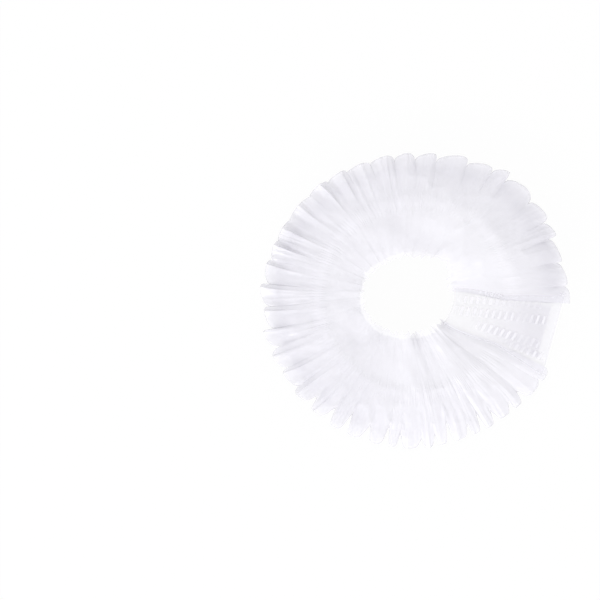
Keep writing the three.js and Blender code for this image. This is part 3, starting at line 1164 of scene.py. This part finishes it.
@dataclass
class EndWeld:
    """A welded end of the strip: a flat tongue of fused plies, with rows of short raised bars.

    Lengths are in millimetres and angles in degrees, and the flat size and area of the film in metres;
    these two are not used.
    """

    film: Film
    level: float
    bar_rows: tuple[BarRow, ...] = ()
    hole_angles: Pair = (20.0, -58.0)
    rim_angles: Pair = (3.0, -31.0)
    first_share: float = 0.03
    rim_set_in: float = 1.2
    bar_pitch: float = 1.75
    bar_width: float = 1.2
    bar_crown: float = 0.2
    bar_height: float = 0.13
    bar_slant: float = 14.0
    bar_end: float = 0.5
    row_fades: Pair = (4.0, 1.0)
    bar_strength: float = 0.75
    faintest_bar: float = 0.2
    uneven: Ripple = Ripple(0.7, 1 / 5, 1 / 5)
    seed: int = 71
    margin: float = 2.9
    margin_edge: float = 0.4
    columns: int = 200
    rows: int = 260
    clear_hole: float = 0.7
    clear_plate: float = 0.36
    clear_shares: Pair = (0.05, 0.55)
    clear_margin: float = 0.45
    clear_side: float = 0.7
    side: Pair = (2.4, 4.6)
    clear_bar: float = 0.04
    # Painted shade: grey on the plate towards the rim, and in the rows of bars between them
    painted_plate_shade: float = 0.32
    painted_plate_shade_shares: Pair = (0.3, 0.8)
    painted_bar_gap_shade: float = 0.22
    gap_shares: Pair = (0.1, 0.5)
    gap_at_side: float = 0.3
    flat: Pair = (0.034, 0.027)
    flat_area: float = 0.0006

    def bars(self, flat: Array) -> tuple[Array, Array]:
        """Height of the bars, from 0 to 1, and the bands in which they stand.

        A bar is a soft box of the distances along and aside from its row, after a shear by the bar's
        slant. Soft noise on the plan makes some of them fainter.

        Args:
            flat: XY points of the weld, in millimetres.

        Returns:
            Height of the bars and strength of the bands, of shape (rows, columns).
        """
        height = np.zeros(flat.shape[:2])
        band = np.zeros(flat.shape[:2])
        shear = math.tan(math.radians(self.bar_slant))
        strength = self.bar_strength + self.uneven.at(flat[..., 0], flat[..., 1], self.seed)
        strength = np.clip(strength, self.faintest_bar, 1)
        fade_in, fade_out = self.row_fades
        for row in self.bar_rows:
            along, aside = row.along(flat)
            run = math.dist(row.start, row.stop)
            inside = smooth(row.length / 2, row.length / 2 - self.bar_end, np.abs(aside))
            inside = inside * smooth(0, fade_in, along) * smooth(run, run - fade_out, along) * strength
            off = np.abs((along - aside * shear) % self.bar_pitch - self.bar_pitch / 2)
            height = np.maximum(height, inside * smooth(self.bar_width / 2, self.bar_crown / 2, off))
            band = np.maximum(band, inside)
        return height, band

    def points(self) -> tuple[Array, Array, Array]:
        """A flat patch between the hole and a straight outer edge, plus the height of the bars.

        Returns:
            Points of shape (rows, columns, 3), in millimetres, how clear the film is at each, and how much
            grey shade is painted into its colour there: on the plate towards the rim, and between the bars.
        """
        plan = self.film.plan
        across = np.linspace(0, 1, self.columns)[None, :]
        share = np.linspace(self.first_share, 1, self.rows)[:, None]
        ends = plan.place(np.array(self.rim_angles), np.ones(2), np.full(2, -self.rim_set_in))
        rim = mix(*ends, across[..., None])
        hole = plan.hole_edge(mix(*self.hole_angles, across))
        flat = mix(hole, rim, share[..., None])
        height, band = self.bars(flat)
        from_edge = (1 - share) * np.linalg.norm(rim - hole, axis=-1)
        plate = smooth(self.margin - self.margin_edge, self.margin, from_edge)
        clear = mix(self.clear_hole, self.clear_plate, smooth(*self.clear_shares, share))
        clear = mix(self.clear_margin, clear, plate)
        width = np.linalg.norm(np.diff(flat, axis=1), axis=-1).sum(axis=1)[:, None]
        within = smooth(*self.side, np.minimum(across, 1 - across) * width)
        clear = mix(mix(self.clear_side, clear, within), self.clear_bar, height)
        # Painted shade: grey on the plate towards the rim, and in the rows of bars, none on the bars
        # themselves
        painted_shade = self.painted_plate_shade * smooth(*self.painted_plate_shade_shares, share) * plate * within
        gaps = self.painted_bar_gap_shade * band * smooth(*self.gap_shares, share)
        painted_shade = painted_shade + gaps * mix(self.gap_at_side, 1, within)
        z = self.level - self.film.lap_sink * share + self.bar_height * height
        z = z + self.film.lap_sag(flat[..., 0], flat[..., 1])
        return np.concatenate([flat, z[..., None]], axis=-1), clear, painted_shade * (1 - height)

    def build(self, name: str, finish: Material, node: str) -> Piece:
        """Makes the piece and dresses it."""
        points, clear, painted_shade = self.points()
        piece = grid_object(name, points, clear, painted_shade)
        return dress(piece, finish, "clear_film", node)


@dataclass
class WeldRoot:
    """An end of the strip, where its plies are fused into a wall that tapers up to the weld's tongue.

    Lengths are in millimetres, and the flat size of the film in metres; the flat size is not used.
    """

    film: Film
    end: End
    foot: float
    top: float
    taper: Pair = (0.1, 0.3)
    shares: Pair = (0.06, 0.92)
    rows: int = 72
    columns: int = 18
    set_back: float = 0.06
    rim_set_in: float = 3.0
    straight: float = 0.3
    uneven: Ripple = Ripple(0.3, 7.0, 2.0)
    seed: int = 90
    fold_seed: int = 390
    clear: float = 0.3
    flat: Pair = (0.026, 0.0102)

    def points(self) -> Array:
        """A wall that stands a little behind the strip's end line, under the outermost ply.

        Going up, it leans out of the strip by the taper, which grows from the hole to the rim, times a
        share of the height and of its cubic ease. Soft noise makes the lean uneven.

        Returns:
            Points of shape (rows, columns, 3), in millimetres.
        """
        film = self.film
        along = self.set_back if self.end is End.START else film.pleats.count - self.set_back
        share = np.linspace(*self.shares, self.rows)
        ply = Ply(
            self.foot, self.foot, self.foot, self.foot, seed=self.seed, fold_seed=self.fold_seed,
            proud=-self.rim_set_in,
        )
        foot = PlyShape(film, ply, np.array([along]), share).points()
        ahead = foot[-1, 0] - foot[0, 0]
        out = self.end.value * np.array([ahead[1], -ahead[0]]) / np.hypot(ahead[0], ahead[1])
        rise = np.linspace(0, 1, self.columns)[None, :]
        taper = np.linspace(*self.taper, self.rows)[:, None]
        lean = taper * (self.straight * rise + (1 - self.straight) * smooth(0, 1, rise))
        lean = lean * (1 + self.uneven.at(share[:, None], rise, self.seed + 1))
        points = np.repeat(foot, self.columns, axis=1)
        points[..., :2] += lean[..., None] * out
        points[..., 2] += (self.top - self.foot) * rise
        return points

    def build(self, tongue: Piece, finish: Material, node: str) -> Piece:
        """Makes the piece and dresses it."""
        piece = grid_object(tongue.name.replace("tongue", "root"), self.points(), self.clear)
        return dress(piece, finish, "clear_film", node)


@dataclass
class Studio:
    """The pale floor, the soft lights and the camera that looks straight down, in metres and degrees."""

    camera_height: float = 0.75
    ring_plane: float = 0.008
    sensor_mm: float = 36.0
    sky: float = 0.965
    key_watts: float = 1.9
    key_angle: float = 240.0
    key_elevation: float = 38.0
    key_distance: float = 0.75
    key_size: Pair = (0.35, 0.25)
    floor_colour: str = "#F2F2F2"
    floor_glow: float = 0.97
    floor_reach_mm: float = 1500.0

    def floor(self) -> None:
        """A white floor that shows white to the camera and keeps the object's soft shadow."""
        reach = self.floor_reach_mm * np.array([-1.0, 1.0])
        corners = np.stack([*np.meshgrid(reach, reach), np.zeros((2, 2))], axis=-1)
        floor = grid_object("studio_floor", corners)
        material = new_material("white_paper_floor")
        tree = material.node_tree
        paper = add_node(tree, "ShaderNodeBsdfDiffuse", Color=srgb(self.floor_colour))
        path = add_node(tree, "ShaderNodeLightPath")
        seen = add_node(
            tree, "ShaderNodeMath", {"operation": "ADD"}, n0=path.outputs["Is Camera Ray"],
            n1=path.outputs["Is Glossy Ray"],
        )
        also = add_node(
            tree, "ShaderNodeMath", {"operation": "ADD", "use_clamp": True}, n0=seen,
            n1=path.outputs["Is Transmission Ray"],
        )
        share = add_node(tree, "ShaderNodeMath", {"operation": "MULTIPLY"}, n0=also, n1=self.floor_glow)
        white = add_node(tree, "ShaderNodeEmission", Strength=1.0)
        both = add_node(tree, "ShaderNodeMixShader", n0=share, n1=paper, n2=white)
        add_node(tree, "ShaderNodeOutputMaterial", Surface=both)
        floor.data.materials.append(material)

    def lights(self) -> None:
        """An even white sky, and one soft key light over the near left."""
        world = bpy.data.worlds.new("white_studio")
        world.use_nodes = True
        sky = world.node_tree.nodes["Background"]
        sky.inputs["Color"].default_value = (1, 1, 1, 1)
        sky.inputs["Strength"].default_value = self.sky
        bpy.context.scene.world = world
        lamp = bpy.data.lights.new("key_softbox", "AREA")
        lamp.shape = "RECTANGLE"
        lamp.size, lamp.size_y = self.key_size
        lamp.energy = self.key_watts
        key = bpy.data.objects.new("key_softbox", lamp)
        turn, rise = math.radians(self.key_angle), math.radians(self.key_elevation)
        toward = Vector((math.cos(turn) * math.cos(rise), math.sin(turn) * math.cos(rise), math.sin(rise)))
        key.location = toward * self.key_distance
        key.rotation_mode = "QUATERNION"
        key.rotation_quaternion = (-toward).to_track_quat("-Z", "Y")
        bpy.context.scene.collection.objects.link(key)

    def camera(self) -> None:
        """A long lens over the middle of the photograph's frame, looking straight down."""
        data = bpy.data.cameras.new("photo_camera")
        data.sensor_width = self.sensor_mm
        frame_width = PHOTO_PX / PX_PER_MM * MM
        data.lens = self.sensor_mm * (self.camera_height - self.ring_plane) / frame_width
        camera = bpy.data.objects.new("photo_camera", data)
        middle = PHOTO_PX / 2
        camera.location = (
            (middle - ORIGIN_PX[0]) / PX_PER_MM * MM,
            (ORIGIN_PX[1] - middle) / PX_PER_MM * MM,
            self.camera_height,
        )
        bpy.context.scene.collection.objects.link(camera)
        bpy.context.scene.camera = camera


# Five rows that spread from the hole to the rim
WELD_ROWS = (
    BarRow((16.8, 2.6), (24.5, 1.0), length=2.0),
    BarRow((11.0, 0.4), (34.8, -1.6), length=2.2),
    BarRow((10.0, -2.6), (36.2, -5.6), length=2.8),
    BarRow((14.5, -6.0), (34.2, -12.2), length=2.8),
    BarRow((23.6, -11.3), (35.0, -15.6), length=2.2),
)


def main() -> None:
    """Builds the cap's pieces and the studio."""
    logging.basicConfig(level=logging.INFO, format="%(message)s")
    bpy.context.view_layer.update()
    bpy.context.scene.view_settings.view_transform = "Standard"

    plan = RingPlan()
    pleats = Pleats(plan)
    film = Film(plan, pleats)
    log.info("%d pleats", pleats.count)
    film_sheet = FilmFinish("clear_polyethylene_film").material()
    # The weld's painted shade is a darker, bluer grey
    weld_sheet = FilmFinish("fused_polyethylene_film", painted_shade_colour="#C6C2D2").material()
    rubber = RubberFinish("white_latex_rubber").material()

    HemFilm(film, Side.TOP, gather_level=14.8, weld_level=12.95).build(
        film_sheet, "top_hem_ply", "top_hem_turn"
    )
    CrownFilm(
        film, hole_levels=(13.0, 3.2), gather_levels=(10.6, 4.8), rim_levels=(9.2, 4.6),
        weld_levels=(10.4, 5.6),
    ).build(film_sheet, "crown_folds")
    HemFilm(
        film, Side.BOTTOM, gather_level=1.6, weld_level=4.2, turn_gap=2.4, hole_fall=0.2, rim_fall=0.0,
        proud=-3.0, inner_share=0.08, droop=0.0, per_pleat=18, ply_rows=34, flat=(0.044, 0.18), rests_on=(),
        clearness=CrownFilm.clearness, clear_fold=0.1,
    ).build(film_sheet, "bottom_hem_ply", "bottom_hem_turn")
    for node, weld_level in (("top_elastic", 9.8), ("bottom_elastic", 6.0)):
        ElasticBand(plan, bottom=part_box(node)[0][2] / MM, weld_level=weld_level).build(rubber, node)
    upper = EndWeld(film, level=13.2, bar_rows=WELD_ROWS).build(
        "upper_weld_tongue", weld_sheet, "upper_end_weld"
    )
    lower = EndWeld(film, level=12.4, columns=40, rows=60, clear_plate=0.6, clear_margin=0.6).build(
        "lower_weld_tongue", weld_sheet, "lower_end_weld"
    )
    WeldRoot(film, End.START, foot=3.9, top=13.0).build(upper, weld_sheet, "upper_end_weld")
    WeldRoot(film, End.FAR, foot=3.9, top=12.2).build(lower, weld_sheet, "lower_end_weld")

    studio = Studio()
    studio.floor()
    studio.lights()
    studio.camera()


if __name__ == "__main__":
    main()
